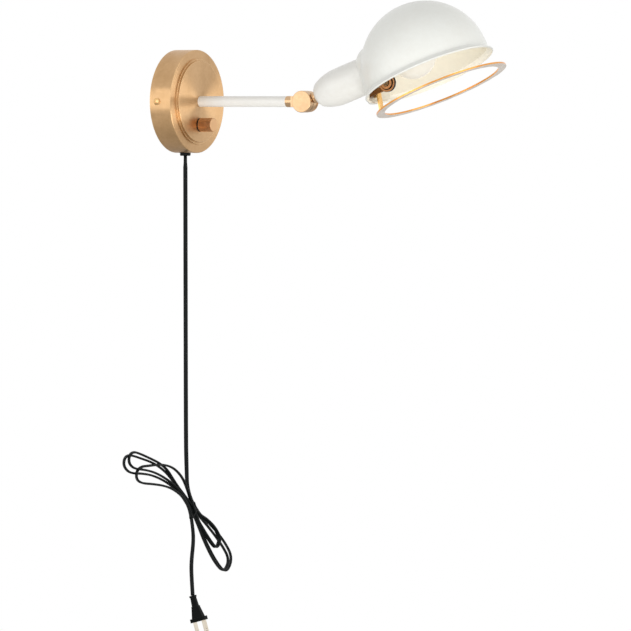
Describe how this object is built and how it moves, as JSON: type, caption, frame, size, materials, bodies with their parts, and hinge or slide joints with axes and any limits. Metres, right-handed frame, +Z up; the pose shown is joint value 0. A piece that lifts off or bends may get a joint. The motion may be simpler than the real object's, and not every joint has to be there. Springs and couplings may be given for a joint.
{
  "type": "wall sconce",
  "caption": "Plug-in wall sconce: round stepped plate with dimmer knob, straight arm, tilting knuckle, domed shade over a globe bulb, tilting trim ring and tied flat cord.",
  "frame": {"origin": "centre of the round plate's back face, on the wall", "axes": "the wall is the XZ plane at Y = 0; -Y points out of the wall to the lamp's front, +X to the right seen from the front, +Z up"},
  "size_m": [0.262, 0.4245, 0.7474],
  "materials": {
    "plate_bronze": "satin spun antique brass, lacquered",
    "screw_brass": "satin",
    "zinc_steel": "zinc plated",
    "nut_brass": "machined",
    "arm_white": "satin powder coat",
    "lead_white": "matt insulation",
    "lead_black": "matt insulation",
    "wire_nut_orange": "moulded",
    "dimmer_case": "moulded",
    "dark_brass": "dark antique",
    "black_ring": "matt",
    "shaft_brass": "machined",
    "knob_bronze": "knurled antique copper",
    "black_steel": "black oxide",
    "gland_black": "moulded",
    "cord_black": "satin flexible jacket",
    "knuckle_brass": "turned satin",
    "stud_steel": "zinc plated",
    "washer_black": "fibre friction washer",
    "clamp_bronze": "knurled satin",
    "cup_white": "satin powder coat",
    "shade_white": "satin powder coat, warm white inside",
    "socket_phenolic": "moulded",
    "ring_phenolic": "moulded",
    "shell_brass": "plain",
    "contact_brass": "plain",
    "bulb_opal": "opal white",
    "cap_aluminium": "rolled",
    "cap_insulator": "vitrite",
    "tip_solder": "solder",
    "bracket_brass": "satin, dark copper",
    "bracket_screw_brass": "plain",
    "thumb_copper": "turned satin copper",
    "pivot_screw_brass": "plain",
    "strap_brass": "satin",
    "trim_copper": "polished copper brass",
    "tie_black": "satin",
    "plug_black": "moulded",
    "blade_brass": "plated"
  },
  "bodies": {
    "wall_unit": {"canopy": "plate_bronze", "wall_crossbar": "zinc_steel", "canopy_side_screws": "screw_brass", "arm_tube": "arm_white", "arm_nipple": "zinc_steel", "arm_lock_washer": "zinc_steel", "arm_hex_nut": "nut_brass", "arm_leads": "lead_white", "dimmer_body": "dimmer_case", "dimmer_bushing_nut": "dark_brass", "knob_base_ring": "black_ring", "cord_gland": "gland_black", "gland_nut": "gland_black", "supply_cord_end": "cord_black", "canopy_leads": "lead_black", "wire_nuts": "wire_nut_orange", "knuckle_arm_half": "knuckle_brass", "knuckle_stud": "stud_steel", "knuckle_washer": "washer_black", "cord_drop": "cord_black", "cord_hank": "cord_black", "cord_tail": "cord_black", "hank_tie": "tie_black", "plug_strain_relief": "plug_black", "plug_body": "plug_black", "plug_blades": "blade_brass"},
    "knob": {"dimmer_shaft": "shaft_brass", "dimmer_knob": "knob_bronze", "knob_set_screw": "black_steel"},
    "clamp_nut": {"knuckle_clamp_nut": "clamp_bronze"},
    "head": {"knuckle_shade_half": "knuckle_brass", "head_nipple": "zinc_steel", "head_lock_nut": "nut_brass", "socket_cup": "cup_white", "socket_leads": "lead_white", "lamp_socket_body": "socket_phenolic", "socket_screw_shell": "shell_brass", "socket_centre_contact": "contact_brass", "socket_retaining_ring": "ring_phenolic", "bulb_glass": "bulb_opal", "bulb_screw_cap": "cap_aluminium", "bulb_insulator": "cap_insulator", "bulb_tip": "tip_solder", "shade_dome": "shade_white", "ring_bracket": "bracket_brass", "bracket_screw": "bracket_screw_brass", "ring_thumb_disc": "thumb_copper", "ring_pivot_screw": "pivot_screw_brass", "ring_pivot_nut": "nut_brass"},
    "ring": {"ring_strap": "strap_brass", "trim_ring": "trim_copper"}
  },
  "joints": [
    {"name": "head_tilt", "type": "hinge", "parent": "wall_unit", "child": "head", "pos_m": [0, -0.1743, 0], "axis": [1, 0, 0], "range_deg": [-68, 112]},
    {"name": "ring_tilt", "type": "hinge", "parent": "head", "child": "ring", "pos_m": [0, -0.28862, 0.0215], "axis": [1, 0, 0], "range_deg": [-8, 5]},
    {"name": "clamp_nut_turn", "type": "hinge", "parent": "wall_unit", "child": "clamp_nut", "pos_m": [0.0068, -0.1743, 0], "axis": [1, 0, 0], "range_deg": [0, 360]},
    {"name": "dimmer_turn", "type": "hinge", "parent": "wall_unit", "child": "knob", "pos_m": [0, -0.0413, -0.0274], "axis": [0, 1, 0], "range_deg": [0, 300]}
  ]
}
